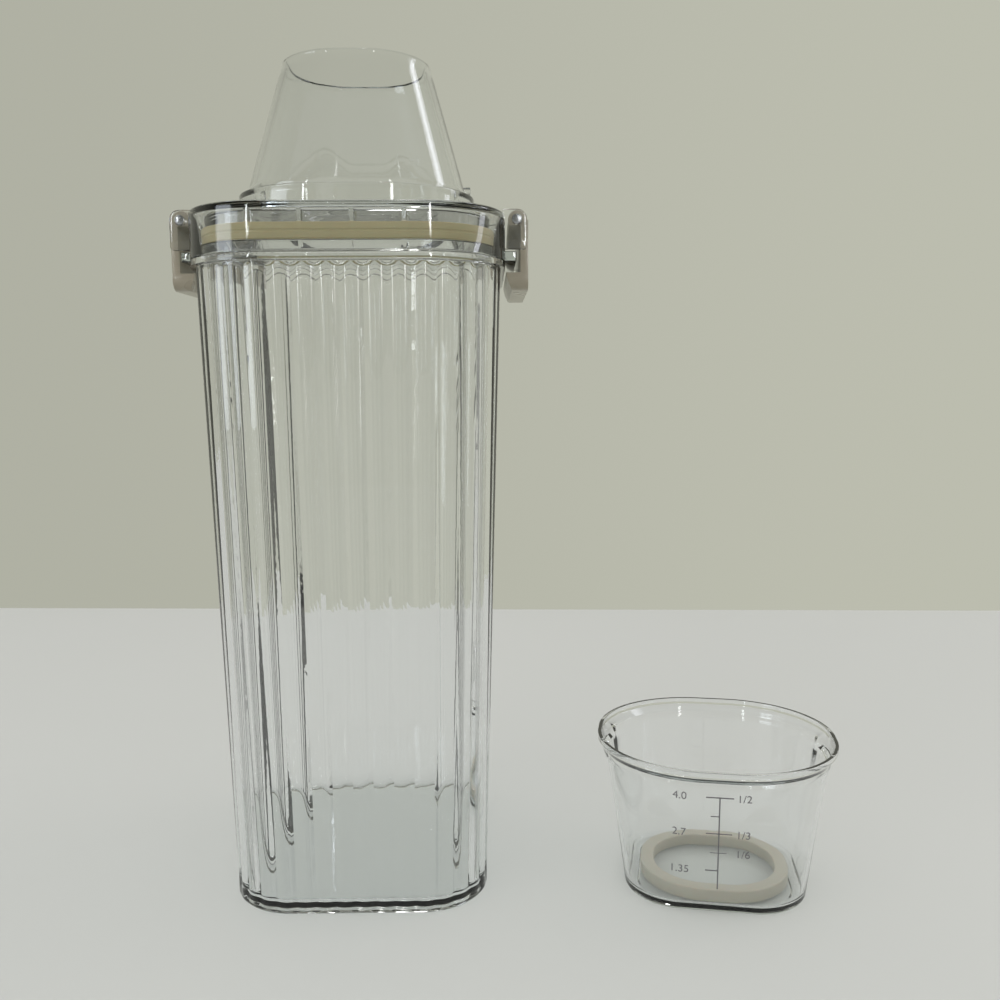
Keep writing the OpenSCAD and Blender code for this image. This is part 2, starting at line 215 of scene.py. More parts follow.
GROUPS = {
    "body_sizes": BodySizes, "lid_sizes": LidSizes, "spout_sizes": SpoutSizes, "latch_sizes": LatchSizes,
    "cup_sizes": CupSizes, "scale_sizes": ScaleSizes, "finishes": Finishes, "view": View,
}

# Modelling


def on_outline(w, d, r, s):
    """The point at s along a rounded rectangle from the middle of its front side, and its normal's angle."""
    a, b, quarter = w / 2 - r, d / 2 - r, math.pi * r / 2
    sides = ((a, -b, -90, a), (a, b, 0, 2 * b), (-a, b, 90, 2 * a), (-a, -b, 180, 2 * b), (a, -b, 270, a))
    for x, y, start, straight in sides:
        angle = math.radians(start)
        if s < straight or start == 270:
            back = s - (straight if start < 270 else 2 * a)
            return (x + r * math.cos(angle) - back * math.sin(angle),
                    y + r * math.sin(angle) + back * math.cos(angle), angle)
        s -= straight
        if s < quarter:
            angle += s / r
            return x + r * math.cos(angle), y + r * math.sin(angle), angle
        s -= quarter


def ring(w, d, r, z, count, depth=0.0, reeds=0):
    """A level ring of points on a rounded rectangle, with valleys of a depth between convex reeds."""
    total = 2 * (w + d - 4 * r) + 2 * math.pi * r
    points = []
    for i in range(count):
        x, y, angle = on_outline(w, d, r, total * i / count)
        dip = depth * (1 - abs(math.sin(math.pi * i * reeds / count))) if depth else 0.0
        points.append(Vector((x - dip * math.cos(angle), y - dip * math.sin(angle), z)))
    return points


def quarter_turn(steps):
    """Sine and one minus cosine at even steps of a quarter turn, for a rounding."""
    angles = [math.pi / 2 * i / steps for i in range(1, steps)]
    return [(math.sin(a), 1 - math.cos(a)) for a in angles]


def deselect():
    bpy.ops.object.select_all(action="DESELECT")


def choose(obj):
    deselect()
    obj.select_set(True)
    bpy.context.view_layer.objects.active = obj


def loft(name, rings, closed=False):
    """A skin that is extruded ring by ring from a circle, with two caps, or closed into a tube."""
    deselect()
    bpy.ops.mesh.primitive_circle_add(vertices=len(rings[0]), radius=1)
    obj = bpy.context.object
    obj.name = obj.data.name = name
    bpy.ops.object.mode_set(mode="EDIT")
    mesh = bmesh.from_edit_mesh(obj.data)
    number = mesh.verts.layers.int.new("number")
    for i, vert in enumerate(mesh.verts):
        vert[number] = i
        vert.co = rings[0][i]
    for points in rings[1:] + (rings[:1] if closed else []):
        bpy.ops.mesh.extrude_region_move()
        mesh = bmesh.from_edit_mesh(obj.data)
        number = mesh.verts.layers.int["number"]
        for vert in mesh.verts:
            if vert.select:
                vert.co = points[vert[number]]
    if closed:
        bpy.ops.mesh.select_all(action="SELECT")
        bpy.ops.mesh.remove_doubles(threshold=MM / 1000)
    else:
        bpy.ops.mesh.edge_face_add()
        bpy.ops.mesh.select_all(action="DESELECT")
        bpy.ops.mesh.select_non_manifold()
        bpy.ops.mesh.edge_face_add()
    bpy.ops.mesh.select_all(action="SELECT")
    bpy.ops.mesh.normals_make_consistent(inside=False)
    bpy.ops.object.mode_set(mode="OBJECT")
    obj.data.attributes.remove(obj.data.attributes["number"])
    return obj


def stretch(middle, x, y, z):
    """Scales what is selected in edit mode around a point."""
    bpy.ops.transform.resize(value=(x, y, z), center_override=middle)


def prism(name, profile, shift):
    """A profile that is extruded straight by a vector."""
    return loft(name, [profile, [point + shift for point in profile]])


def arc(x, z, r, start, end, steps):
    """Points of an arc in the XZ plane, angles in degrees from +X towards +Z."""
    angles = [math.radians(start + (end - start) * i / steps) for i in range(steps + 1)]
    return [Vector((x + r * math.cos(a), 0, z + r * math.sin(a))) for a in angles]


def add_modifier(obj, kind, **settings):
    """Adds a modifier with its settings and applies it."""
    choose(obj)
    bpy.ops.object.modifier_add(type=kind)
    modifier = obj.modifiers[-1]
    for key, value in settings.items():
        setattr(modifier, key, value)
    bpy.ops.object.modifier_apply(modifier=modifier.name)


def bevel(obj, width, segments=3, angle=40):
    """Rounds the edges that turn by more than an angle in degrees."""
    add_modifier(obj, "BEVEL", width=width, segments=segments, limit_method="ANGLE",
                 angle_limit=math.radians(angle), use_clamp_overlap=True)


def combine(obj, other, operation="UNION"):
    """Joins another solid to a solid, cuts it out or keeps what both share."""
    add_modifier(obj, "BOOLEAN", operation=operation, object=other, solver="EXACT")
    bpy.data.objects.remove(other)


def mirrored(obj):
    """A copy of a piece on the other side of the container."""
    choose(obj)
    bpy.ops.object.duplicate(linked=False)
    copy = bpy.context.object
    bpy.ops.object.mode_set(mode="EDIT")
    bpy.ops.mesh.select_all(action="SELECT")
    bpy.ops.transform.mirror(constraint_axis=(True, False, False), center_override=(0, 0, 0))
    bpy.ops.mesh.normals_make_consistent(inside=False)
    bpy.ops.object.mode_set(mode="OBJECT")
    return copy


def seat(obj, body, material, nodes=(), angle=SMOOTH_ANGLE):
    """Smooths a finished piece, gives it its finish, and lets it ride on its body."""
    choose(obj)
    bpy.ops.object.shade_smooth_by_angle(angle=math.radians(angle))
    obj.data.materials.clear()
    obj.data.materials.append(material)
    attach(obj, body)
    if nodes:
        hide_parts(*nodes)


# Materials


def new_group(name, inputs, outputs):
    """A node group with float or colour sockets, its input node and its output node."""
    group = bpy.data.node_groups.new(name, "ShaderNodeTree")
    kinds = {"value": "NodeSocketFloat", "colour": "NodeSocketColor"}
    for socket, kind in inputs:
        group.interface.new_socket(socket, in_out="INPUT", socket_type=kinds[kind])
    for socket, kind in outputs:
        group.interface.new_socket(socket, in_out="OUTPUT", socket_type=kinds[kind])
    return group, group.nodes.new("NodeGroupInput"), group.nodes.new("NodeGroupOutput")


def noise(nodes, links, scale=None, detail=2.0):
    """A noise texture on the piece's own coordinates; scale is a socket or a number."""
    place = nodes.new("ShaderNodeTexCoord")
    texture = nodes.new("ShaderNodeTexNoise")
    texture.inputs["Detail"].default_value = detail
    links.new(place.outputs["Object"], texture.inputs["Vector"])
    if isinstance(scale, (int, float)):
        texture.inputs["Scale"].default_value = scale
    else:
        links.new(scale, texture.inputs["Scale"])
    return texture.outputs["Fac"]


def spread(nodes, links, value, low, high):
    """Spreads a value of 0 to 1 between two sockets or numbers."""
    node = nodes.new("ShaderNodeMapRange")
    links.new(value, node.inputs["Value"])
    for name, source in (("To Min", low), ("To Max", high)):
        if isinstance(source, (int, float)):
            node.inputs[name].default_value = source
        else:
            links.new(source, node.inputs[name])
    return node.outputs["Result"]


def moulded_skin():
    """Roughness that varies softly, and the height of the faint waves of a moulded face."""
    group, get, give = new_group(
        "Moulded skin",
        [("Patch Size", "value"), ("Smoothest", "value"), ("Roughest", "value"), ("Wave Size", "value")],
        [("Roughness", "value"), ("Height", "value")])
    nodes, links = group.nodes, group.links
    patches = noise(nodes, links, get.outputs["Patch Size"])
    waves = noise(nodes, links, get.outputs["Wave Size"], detail=4)
    rough = spread(nodes, links, patches, get.outputs["Smoothest"], get.outputs["Roughest"])
    links.new(rough, give.inputs["Roughness"])
    links.new(waves, give.inputs["Height"])
    return group


def mottled_colour():
    """A colour that drifts between two shades in soft patches."""
    group, get, give = new_group(
        "Mottled colour",
        [("Light", "colour"), ("Dark", "colour"), ("Patch Size", "value")],
        [("Color", "colour")])
    nodes, links = group.nodes, group.links
    mix = nodes.new("ShaderNodeMix")
    mix.data_type = "RGBA"
    links.new(noise(nodes, links, get.outputs["Patch Size"], detail=5), mix.inputs["Factor"])
    links.new(get.outputs["Light"], mix.inputs["A"])
    links.new(get.outputs["Dark"], mix.inputs["B"])
    links.new(mix.outputs["Result"], give.inputs["Color"])
    return group


def new_material(name):
    """A material with its nodes, links, Principled shader and output."""
    material = bpy.data.materials.new(name)
    material.use_nodes = True
    nodes = material.node_tree.nodes
    return material, nodes, material.node_tree.links, nodes["Principled BSDF"], nodes["Material Output"]


def use_group(nodes, name, **values):
    """A shared group in a material, with its own values."""
    node = nodes.new("ShaderNodeGroup")
    node.node_tree = bpy.data.node_groups[name]
    for key, value in values.items():
        node.inputs[key.replace("_", " ")].default_value = value
    return node


def use_skin(nodes, links, shader, patch, smoothest, roughest, wave, strength, distance):
    """Feeds the shader's roughness and normal from the moulded skin."""
    skin = use_group(nodes, "Moulded skin", Patch_Size=patch, Smoothest=smoothest,
                     Roughest=roughest, Wave_Size=wave)
    bump = nodes.new("ShaderNodeBump")
    bump.inputs["Strength"].default_value = strength
    bump.inputs["Distance"].default_value = distance
    links.new(skin.outputs["Roughness"], shader.inputs["Roughness"])
    links.new(skin.outputs["Height"], bump.inputs["Height"])
    links.new(bump.outputs["Normal"], shader.inputs["Normal"])


def clear_plastic(name, wave, strength, depth_tint, density):
    """Clear moulded plastic, which darkens a little with its depth and lets light through to the table."""
    material, nodes, links, shader, output = new_material(name)
    shader.inputs["Base Color"].default_value = (0.985, 0.99, 0.99, 1)
    shader.inputs["Transmission Weight"].default_value = 1
    shader.inputs["IOR"].default_value = 1.54
    use_skin(nodes, links, shader, 40, 0.004, 0.02, wave, strength, 0.0004)
    path = nodes.new("ShaderNodeLightPath")
    either = nodes.new("ShaderNodeMath")
    either.operation = "MAXIMUM"
    links.new(path.outputs["Is Shadow Ray"], either.inputs[0])
    links.new(path.outputs["Is Diffuse Ray"], either.inputs[1])
    through = nodes.new("ShaderNodeBsdfTransparent")
    through.inputs["Color"].default_value = (0.93, 0.94, 0.94, 1)
    mix = nodes.new("ShaderNodeMixShader")
    links.new(either.outputs[0], mix.inputs["Fac"])
    links.new(shader.outputs[0], mix.inputs[1])
    links.new(through.outputs[0], mix.inputs[2])
    links.new(mix.outputs[0], output.inputs["Surface"])
    depth = nodes.new("ShaderNodeVolumeAbsorption")
    depth.inputs["Color"].default_value = (*depth_tint, 1)
    depth.inputs["Density"].default_value = density
    links.new(depth.outputs[0], output.inputs["Volume"])
    return material


def shades(colour, change):
    """A colour made lighter and darker by a share."""
    light = [min(1, c * (1 + change)) for c in colour]
    dark = [c * (1 - change) for c in colour]
    return (*light, 1), (*dark, 1)


def coloured(name, colour, change, patch, skin, **settings):
    """An opaque finish with a mottled colour and a moulded skin."""
    material, nodes, links, shader, _ = new_material(name)
    light, dark = shades(colour, change)
    mottle = use_group(nodes, "Mottled colour", Light=light, Dark=dark, Patch_Size=patch)
    links.new(mottle.outputs["Color"], shader.inputs["Base Color"])
    use_skin(nodes, links, shader, *skin)
    for key, value in settings.items():
        shader.inputs[key.replace("_", " ")].default_value = value
    return material


def make_materials(scene):
    """All finishes by name."""
    moulded_skin()
    mottled_colour()
    shade = scene.finishes
    clear_plastic("moulded_clear", 60, 0.12, (0.62, 0.70, 0.72), 14)
    coloured("moulded_silicone", shade.silicone, 0.06, 90, (70, 0.42, 0.55, 900, 0.1, 0.0002),
             Subsurface_Weight=0.15, Subsurface_Scale=0.002, Sheen_Weight=0.1)
    coloured("cup_silicone", shade.cup_silicone, 0.05, 90, (70, 0.42, 0.55, 900, 0.1, 0.0002),
             Subsurface_Weight=0.15, Subsurface_Scale=0.002, Sheen_Weight=0.1)
    coloured("moulded_latch", shade.latch, 0.03, 60, (60, 0.24, 0.34, 700, 0.06, 0.0002),
             Coat_Weight=0.25, Coat_Roughness=0.1)
    coloured("drawn_steel", shade.steel, 0.08, 300, (200, 0.18, 0.32, 1200, 0.1, 0.0001), Metallic=1.0)
    coloured("printed_ink", shade.ink, 0.08, 500, (300, 0.45, 0.6, 1500, 0.05, 0.0001))


def finish(name):
    return bpy.data.materials[name]


# Pieces


class ContainerPiece:
    """What the operators of the container share."""
    bl_options = {"REGISTER", "UNDO"}


class MakeBody(ContainerPiece, bpy.types.Operator):
    """Model the reeded container with its flange and neck"""
    bl_idname = "container.make_body"
    bl_label = "Container body"

    def execute(self, context):
        s = context.scene.body_sizes
        size, _ = extent("container_body")
        count = s.reeds * s.reed_points
        mouth_w, mouth_d = size.x - 2 * s.flange_out, size.y - 2 * s.flange_out
        base_w, base_d = mouth_w - s.flare, mouth_d - s.flare
        flange_top = size.z - s.neck_h
        body_h = flange_top - s.flange_t
        low, high = s.foot_r + s.foot_fade, body_h - s.reed_fade
        neck = (size.x - 2 * s.neck_inset, size.y - 2 * s.neck_inset, s.mouth_r + s.flange_out - s.neck_inset)

        def outside(z, out=0.0, depth=0.0):
            share = min(1, max(0, (z - low) / (high - low)))
            r = s.base_r + (s.mouth_r - s.base_r) * share
            w, d = base_w + s.flare * share, base_d + s.flare * share
            return ring(w + 2 * out, d + 2 * out, r + out, z, count, depth * s.reed_depth, s.reeds)

        def inside(z, inset=0.0):
            start = s.floor + s.floor_rise
            share = max(0, (z - start) / (size.z - start))
            w = base_w - 2 * s.wall + (neck[0] - base_w) * share
            d = base_d - 2 * s.wall + (neck[1] - base_d) * share
            r = s.base_r - s.wall + (neck[2] - s.base_r) * share
            return ring(w - 2 * inset, d - 2 * inset, r - inset, z, count)

        land = s.foot_r + s.foot_land
        rings = [outside(s.recess, -land - 2 * s.recess), outside(s.recess, -land - s.recess),
                 outside(0, -land), outside(0, -s.foot_r)]
        rings += [outside(up * s.foot_r, (1 - across) * -s.foot_r, s.foot_reed * up)
                  for across, up in quarter_turn(6)]
        rings += [outside(s.foot_r + s.foot_fade * k, 0, s.foot_reed + (1 - s.foot_reed) * k)
                  for k in (0, 0.35, 0.7, 1)]
        rings += [outside(low + (high - low) * k, 0, 1) for k in (0.02, 0.25, 0.5, 0.75, 1)]
        rings += [outside(high + s.reed_fade * k, 0, math.cos(math.pi / 2 * k)) for k in (0.25, 0.5, 0.7, 0.85)]
        rings += [outside(body_h), outside(body_h, s.flange_out), outside(flange_top, s.flange_out)]
        rings += [ring(*neck, flange_top, count), ring(*neck, size.z, count)]
        rings += [inside(size.z), inside((size.z + s.floor) / 2), inside(s.floor + s.floor_rise)]
        rings += [inside(s.floor + (1 - across) * s.floor_rise, up * s.floor_r)
                  for across, up in quarter_turn(6)]
        rings += [inside(s.floor, s.floor_r), inside(s.floor, s.floor_r + 1 * MM)]
        body = loft("container_walls", rings)
        bevel(body, 0.35 * MM)
        seat(body, "container", finish("moulded_clear"), ("container_body",))
        return {"FINISHED"}


class MakeLid(ContainerPiece, bpy.types.Operator):
    """Model the lid with its plug, ribs, ears and rails"""
    bl_idname = "container.make_lid"
    bl_label = "Lid"

    count = 240

    def shell(self, context, low, top, lid_w, lid_d):
        s, spout = context.scene.lid_sizes, context.scene.spout_sizes
        under, plug_low = top - s.plate, low + s.plug_up
        hole = s.hole_gap - spout.spigot

        def level(inset, z):
            return ring(lid_w - 2 * inset, lid_d - 2 * inset, s.corner_r - inset, z, self.count)

        def hole_ring(z):
            return ring(spout.root_w + 2 * hole, spout.root_d + 2 * hole, spout.root_r + hole, z, self.count)

        plug_in = s.plug_inset + s.plug
        rings = [hole_ring(top), level(s.top_r + 1 * MM, top), level(s.top_r, top)]
        rings += [level(s.top_r * (1 - across), top - s.top_r * down) for across, down in quarter_turn(6)]
        rings += [level(0, top - s.top_r), level(0, low), level(s.skirt, low), level(s.skirt, under)]
        rings += [level(s.plug_inset, under), level(s.plug_inset, plug_low), level(plug_in, plug_low)]
        rings += [level(plug_in, under), hole_ring(under)]
        shell = loft("lid_shell", rings, closed=True)
        bevel(shell, 0.3 * MM)
        return shell

    def ribs(self, s, seal_top, under, lid_w, lid_d):
        """Boxes between skirt and plug along the straight sides, as one mesh."""
        sink = s.skirt / 2
        reach = s.plug_inset + s.plug / 2 - sink
        middle_z = (seal_top + under) / 2 + 0.1 * MM
        places = [(s.rib_shift + i * s.rib_pitch, side * (lid_d / 2 - sink - reach / 2), s.rib, reach)
                  for i in (-2, -1, 0, 1) for side in (-1, 1)]
        places += [(side * (lid_w / 2 - sink - reach / 2), i * s.rib_pitch, reach, s.rib)
                   for i in (-2, -1, 0, 1, 2) for side in (-1, 1)]
        deselect()
        bpy.ops.mesh.primitive_cube_add(size=1)
        obj = bpy.context.object
        bpy.ops.object.mode_set(mode="EDIT")
        bpy.ops.mesh.delete(type="VERT")
        for x, y, along, across in places:
            bpy.ops.mesh.primitive_cube_add(size=1, location=(x, y, middle_z))
            stretch((x, y, middle_z), along, across, under - seal_top + 0.2 * MM)
        bpy.ops.object.mode_set(mode="OBJECT")
        return obj

    def bracket(self, s, pin_x, pin_z, low, lid_w, half):
        """The two ears and the rail of the right-hand side."""
        root = lid_w / 2 - s.skirt / 2
        foot_z = pin_z - s.ear_drop
        corner = 1 * MM
        profile = [Vector((root, 0, foot_z))]
        profile += arc(pin_x + s.ear_r - corner, foot_z + corner, corner, -90, 0, 4)
        profile += arc(pin_x, pin_z, s.ear_r, 0, 90, 16)
        profile += [Vector((root, 0, pin_z + s.ear_r))]
        rail = [Vector((root, 0, low)), Vector((lid_w / 2 + s.rail_out, 0, low)),
                Vector((lid_w / 2 + s.rail_out, 0, low + s.rail_h)), Vector((root, 0, low + s.rail_h))]
        parts = [prism("rail", [p + Vector((0, -half, 0)) for p in rail], Vector((0, 2 * half, 0)))]
        for y in (-half, half - s.ear):
            parts.append(prism("ear", [p + Vector((0, y, 0)) for p in profile], Vector((0, s.ear, 0))))
        for part in parts:
            bevel(part, 0.35 * MM)
        for part in parts[1:]:
            combine(parts[0], part)
        return parts[0]

    def execute(self, context):
        s = context.scene.lid_sizes
        size, _ = extent("lid")
        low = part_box("lid")[0].z
        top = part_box("pour_spout")[0].z + s.plate
        lid_w, lid_d = extent("container_body")[0].x, size.y
        pin, pin_middle = extent("hinge_pin_right")
        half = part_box("latch_right")[1].y + 0.3 * MM + s.ear
        shell = self.shell(context, low, top, lid_w, lid_d)
        combine(shell, self.ribs(s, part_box("lid_seal")[1].z, top - s.plate, lid_w, lid_d))
        bracket = self.bracket(s, pin_middle.x, pin_middle.z, low, lid_w, half)
        other = mirrored(bracket)
        bore = context.scene.latch_sizes.bore_r
        for side, part in ((1, bracket), (-1, other)):
            drill_profile = arc(side * pin_middle.x, pin_middle.z, bore, 0, 354, 59)
            drill = prism("drill", [p + Vector((0, -2 * half, 0)) for p in drill_profile],
                          Vector((0, 4 * half, 0)))
            combine(shell, part)
            combine(shell, drill, "DIFFERENCE")
        seat(shell, "lid", finish("moulded_clear"), ("lid",))
        return {"FINISHED"}


class MakeSpout(ContainerPiece, bpy.types.Operator):
    """Model the pouring spout with its collar and locking lugs"""
    bl_idname = "container.make_spout"
    bl_label = "Pouring spout"

    def execute(self, context):
        s = context.scene.spout_sizes
        low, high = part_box("pour_spout")
        lid_top = low.z + context.scene.lid_sizes.plate
        seat_z = lid_top + 0.05 * MM
        collar_top = lid_top + s.collar_h
        count = 160

        def wall(out, z):
            share = max(0, (z - collar_top) / (high.z - collar_top))
            w = s.root_w + (s.mouth_w - s.root_w) * share
            d = s.root_d + (s.mouth_d - s.root_d) * share
            r = s.root_r + (s.mouth_r - s.root_r) * share
            return ring(w + 2 * out, d + 2 * out, r + out, z, count)

        heights = [collar_top + (high.z - collar_top) * k for k in (0.05, 0.3, 0.6, 0.9)]
        rings = [wall(-s.spigot, low.z), wall(-s.spigot, seat_z), wall(s.collar, seat_z),
                 wall(s.collar, collar_top), wall(0, collar_top)]
        rings += [wall(0, z) for z in heights] + [wall(0, high.z), wall(-s.wall, high.z)]
        rings += [wall(-s.wall, z) for z in reversed(heights)]
        rings += [wall(-s.wall, collar_top), wall(-s.spigot - s.wall, low.z)]
        spout = loft("spout_shell", rings, closed=True)
        bevel(spout, 0.5 * MM, segments=4)
        lug_z = collar_top + s.lug_up
        for side in (-1, 1):
            tip = side * (s.root_w / 2 + s.lug_out)
            root = side * (s.root_w / 2 - 1.5 * s.wall)
            circle = [Vector((root, p.x, p.z)) for p in arc(0, lug_z, s.lug_r, 0, 350, 35)]
            lug = prism("lug", circle, Vector((tip - root, 0, 0)))
            bevel(lug, 0.3 * MM)
            combine(spout, lug)
        seat(spout, "lid", finish("moulded_clear"), ("pour_spout",))
        return {"FINISHED"}


class MakeSeals(ContainerPiece, bpy.types.Operator):
    """Model the seal of the lid and the seal ring of the cup"""
    bl_idname = "container.make_seals"
    bl_label = "Seals"

    def execute(self, context):
        low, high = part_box("lid_seal")
        size, _ = extent("lid_seal")
        corner, width = 23.0 * MM, 1.6 * MM

        def lid_level(inset, z):
            return ring(size.x - 2 * inset, size.y - 2 * inset, corner - inset, z, 240)

        groove = 0.12 * MM
        rings = [lid_level(0, low.z), lid_level(0, low.z + size.z * 0.42),
                 lid_level(groove, low.z + size.z * 0.46), lid_level(groove, low.z + size.z * 0.54),
                 lid_level(0, low.z + size.z * 0.58), lid_level(0, high.z),
                 lid_level(width, high.z), lid_level(width, low.z)]
        seal = loft("lid_gasket", rings, closed=True)
        bevel(seal, 0.35 * MM)
        seat(seal, "lid", finish("moulded_silicone"), ("lid_seal",))

        cup = context.scene.cup_sizes
        low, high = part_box("cup_seal")
        width, forward, lift = 4.4 * MM, 1.6 * MM, 0.02 * MM

        def cup_level(inset, z):
            points = ring(48.0 * MM - 2 * inset, 43.8 * MM - 2 * inset, 20.4 * MM - inset, z, 200)
            return turned([p - Vector((0, forward, 0)) for p in points], cup.turn)

        rings = [cup_level(0, low.z + lift), cup_level(0, high.z),
                 cup_level(width, high.z), cup_level(width, low.z + lift)]
        ring_seal = loft("cup_gasket", rings, closed=True)
        bevel(ring_seal, 0.5 * MM, segments=4)
        seat(ring_seal, "cup", finish("cup_silicone"), ("cup_seal",))
        return {"FINISHED"}


class MakeLatches(ContainerPiece, bpy.types.Operator):
    """Model the two latches and their hinge pins"""
    bl_idname = "container.make_latches"
    bl_label = "Latches"

    def latch(self, s):
        low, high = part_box("latch_right")
        _, pin = extent("hinge_pin_right")
        plate_in = high.x - s.plate
        hook_top = low.z + s.hook_h
        profile = [Vector((plate_in, 0, pin.z - s.barrel_r * 0.6)), Vector((plate_in, 0, hook_top)),
                   Vector((low.x, 0, hook_top)),
                   Vector((low.x + s.hook_step, 0, low.z + s.hook_h / 2)),
                   Vector((low.x + s.hook_lead, 0, low.z)), Vector((high.x, 0, low.z)),
                   Vector((high.x, 0, pin.z))]
        turn = math.degrees(math.asin(0.6))
        profile += arc(pin.x, pin.z, s.barrel_r, 14, 180 + turn, 28)
        start = Vector((0, low.y, 0))
        latch = prism("latch", [p + start for p in profile], Vector((0, high.y - low.y, 0)))
        centre_z, half = pin.z, high.y
        outline = []
        for side, first in ((-1, 180), (1, 270)):
            for i in range(9):
                a = math.radians(first + 90 * i / 8)
                outline.append(Vector((low.x - 1 * MM, side * (half - s.corner_r) + s.corner_r * math.cos(a),
                                       low.z + s.corner_r + s.corner_r * math.sin(a))))
        outline += [Vector((low.x - 1 * MM, half, centre_z + 10 * MM)),
                    Vector((low.x - 1 * MM, -half, centre_z + 10 * MM))]
        frame_cut = prism("latch_outline", outline, Vector((20 * MM, 0, 0)))
        combine(latch, frame_cut, "INTERSECT")
        bevel(latch, 0.45 * MM, segments=3, angle=32)
        drill_profile = arc(pin.x, pin.z, s.bore_r, 0, 354, 59)
        drill = prism("drill", [p + Vector((0, -2 * half, 0)) for p in drill_profile],
                      Vector((0, 4 * half, 0)))
        combine(latch, drill, "DIFFERENCE")
        return latch

    def pin(self):
        size, middle = extent("hinge_pin_right")
        circle = arc(middle.x, middle.z, size.z / 2, 0, 350, 35)
        pin = prism("pin", [p + Vector((0, -size.y / 2, 0)) for p in circle], Vector((0, size.y, 0)))
        bevel(pin, 0.4 * MM, segments=3)
        return pin

    def execute(self, context):
        right = self.latch(context.scene.latch_sizes)
        pin = self.pin()
        for obj, name, side in ((right, "latch", "right"), (mirrored(right), "latch", "left")):
            obj.name = f"{name}_plate_{side}"
            seat(obj, f"latch_{side}", finish("moulded_latch"), (f"latch_{side}",))
        for obj, side in ((pin, "right"), (mirrored(pin), "left")):
            obj.name = f"pin_{side}"
            seat(obj, "lid", finish("drawn_steel"), (f"hinge_pin_{side}",))
        return {"FINISHED"}


def turned(points, turn):
    """Points of the cup at its place on the table, turned clockwise."""
    _, middle = extent("measuring_cup")
    spin = Matrix.Rotation(-turn, 3, "Z")
    return [spin @ p + Vector((middle.x, middle.y, 0)) for p in points]


def cup_wall_size(s, share):
    """Width, depth and corner radius of the cup's wall at a share of the ledge's height."""
    share = min(1, share)
    return (s.base_w + (s.top_w - s.base_w) * share, s.base_d + (s.top_d - s.base_d) * share,
            s.base_r + (s.top_r - s.base_r) * share)


class MakeCup(ContainerPiece, bpy.types.Operator):
    """Model the measuring cup with its rim, ledge and notches"""
    bl_idname = "container.make_cup"
    bl_label = "Measuring cup"

    def execute(self, context):
        s = context.scene.cup_sizes
        height = extent("measuring_cup")[0].z
        ledge = height - s.ledge_drop
        foot, recess, count = 1.5 * MM, 0.4 * MM, 480

        def level(z, out, bulge=0.0):
            w, d, r = cup_wall_size(s, z / ledge)
            points = ring(w + 2 * out, d + 2 * out, r + out, z, count)
            for p in points:
                near = max(0, 1 - (p.y / s.notch_half) ** 2)
                p.x += math.copysign(bulge * near, p.x)
            return turned(points, s.turn)

        rings = [level(recess, -foot - 4 * MM), level(recess, -foot - 3 * MM), level(0, -foot - 2.4 * MM),
                 level(0, -foot)]
        rings += [level(foot * up, -foot * (1 - across)) for across, up in quarter_turn(5)]
        rings += [level(foot, 0), level(ledge - 4.8 * MM, 0), level(ledge - 3.6 * MM, 0, 0.5 * s.notch_out),
                  level(ledge - 2.4 * MM, 0, s.notch_out)]
        rings += [level(ledge - 2.4 * MM + k * 4.7 * MM, s.rim_out * k * k, s.notch_out * (1 - k * k))
                  for k in (0.25, 0.5, 0.75)]
        rings += [level(height - s.rim_h, s.rim_out), level(height, s.rim_out)]
        inner = s.rim_out - s.rim_t
        rings += [level(height, inner), level(ledge + 1.8 * MM, inner), level(ledge, -s.wall, s.notch_in),
                  level(ledge - 1.2 * MM, -s.wall, s.notch_in), level(ledge - 2.4 * MM, -s.wall, 0.5 * MM),
                  level(ledge - 16 * MM, -s.wall), level(s.floor + foot, -s.wall)]
        rings += [level(s.floor + foot * (1 - across), -s.wall - up * foot) for across, up in quarter_turn(5)]
        rings += [level(s.floor, -s.wall - foot), level(s.floor, -s.wall - foot - 1 * MM)]
        cup = loft("cup_shell", rings)
        bevel(cup, 0.22 * MM, segments=3)
        seat(cup, "cup", finish("moulded_clear"), ("measuring_cup",))
        return {"FINISHED"}


